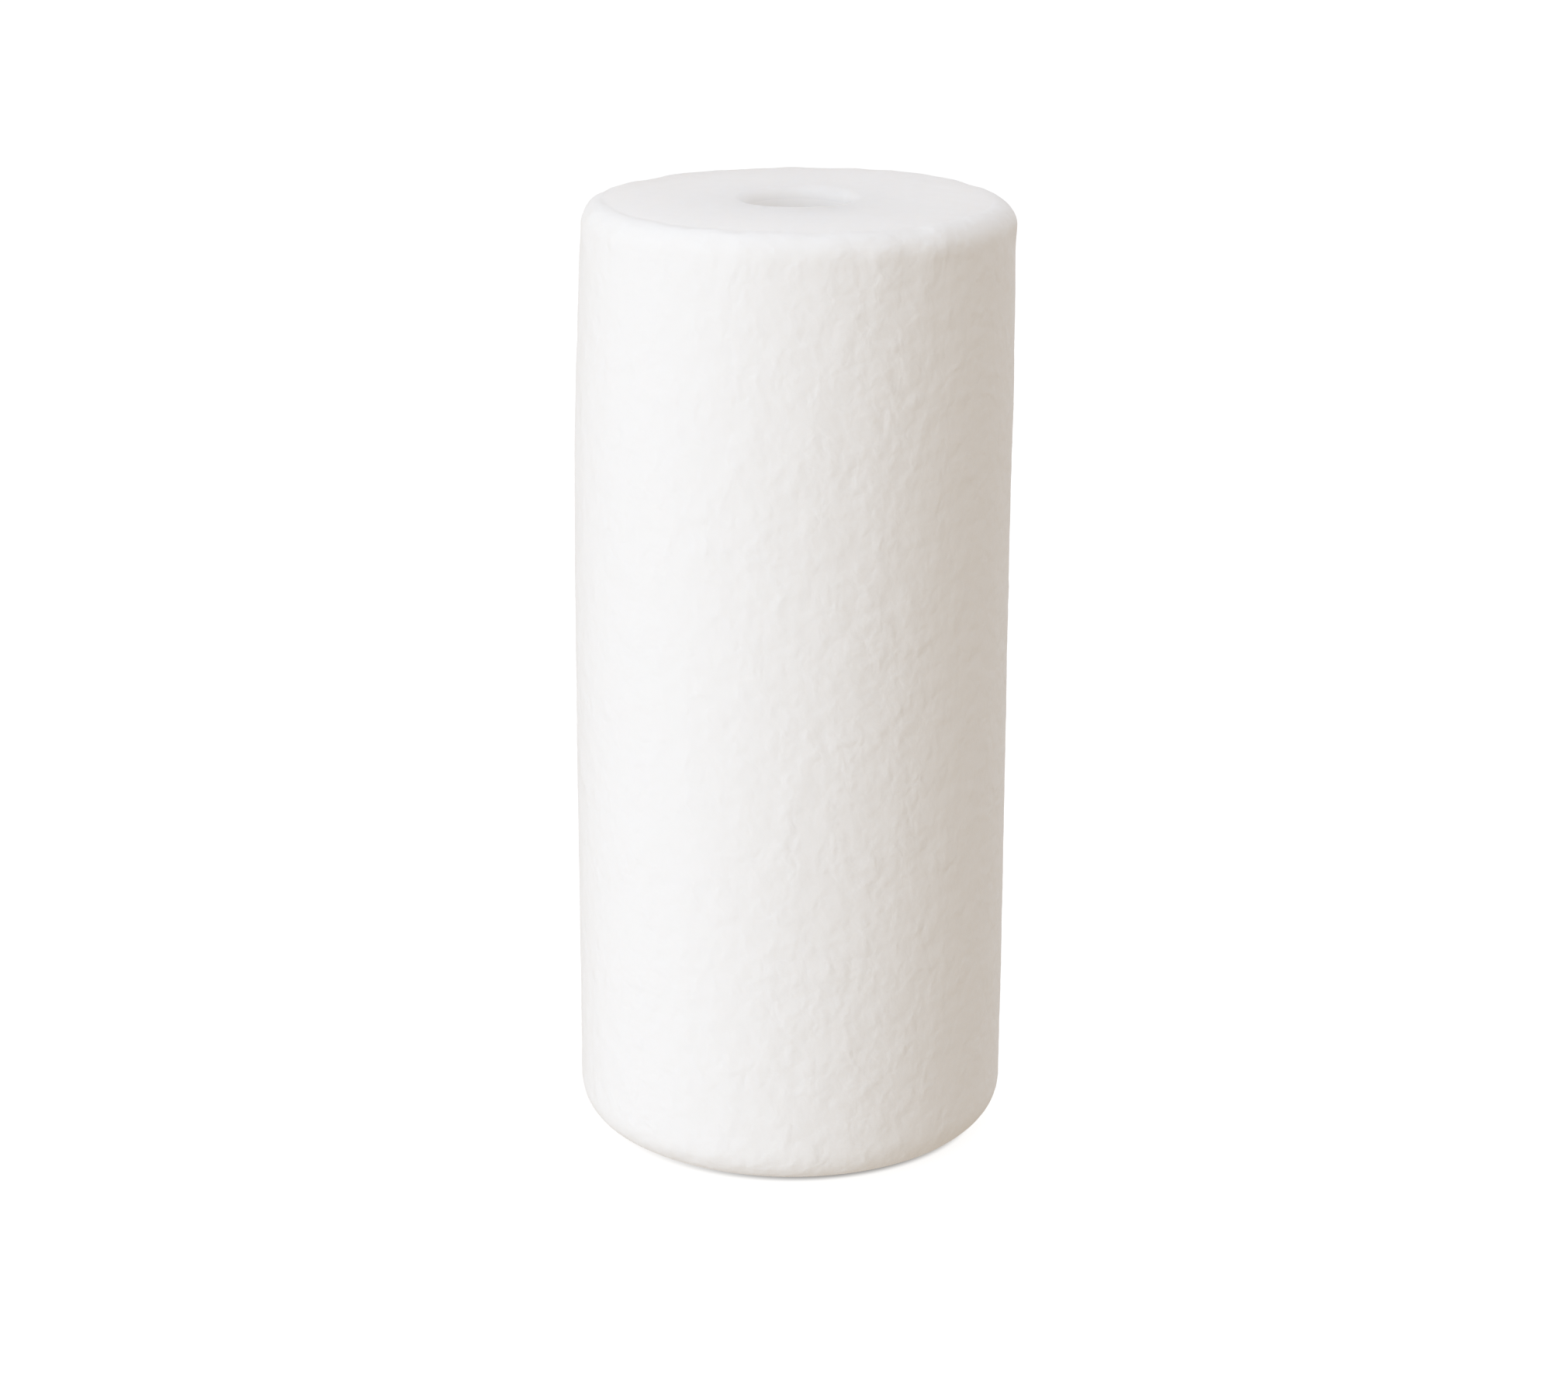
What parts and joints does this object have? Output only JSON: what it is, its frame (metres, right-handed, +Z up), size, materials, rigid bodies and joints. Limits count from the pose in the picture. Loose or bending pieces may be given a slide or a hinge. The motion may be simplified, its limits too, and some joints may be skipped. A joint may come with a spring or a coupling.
{
  "type": "sediment filter cartridge",
  "caption": "Thick-walled tube of melt-blown white fibre with softly rounded ends and a plain through bore, standing on its end.",
  "frame": {"origin": "middle of the flat base ring that the cartridge stands on, on the axis of the bore", "axes": "+Z up along the bore to the top end, +X to the right and +Y away from the viewer; round about Z"},
  "size_m": [0.114, 0.114, 0.251],
  "materials": {
    "melt_blown_fibre": "matte bonded fibre, faintly mottled"
  },
  "bodies": {
    "root": {"filter_body": "melt_blown_fibre"}
  },
  "joints": []
}
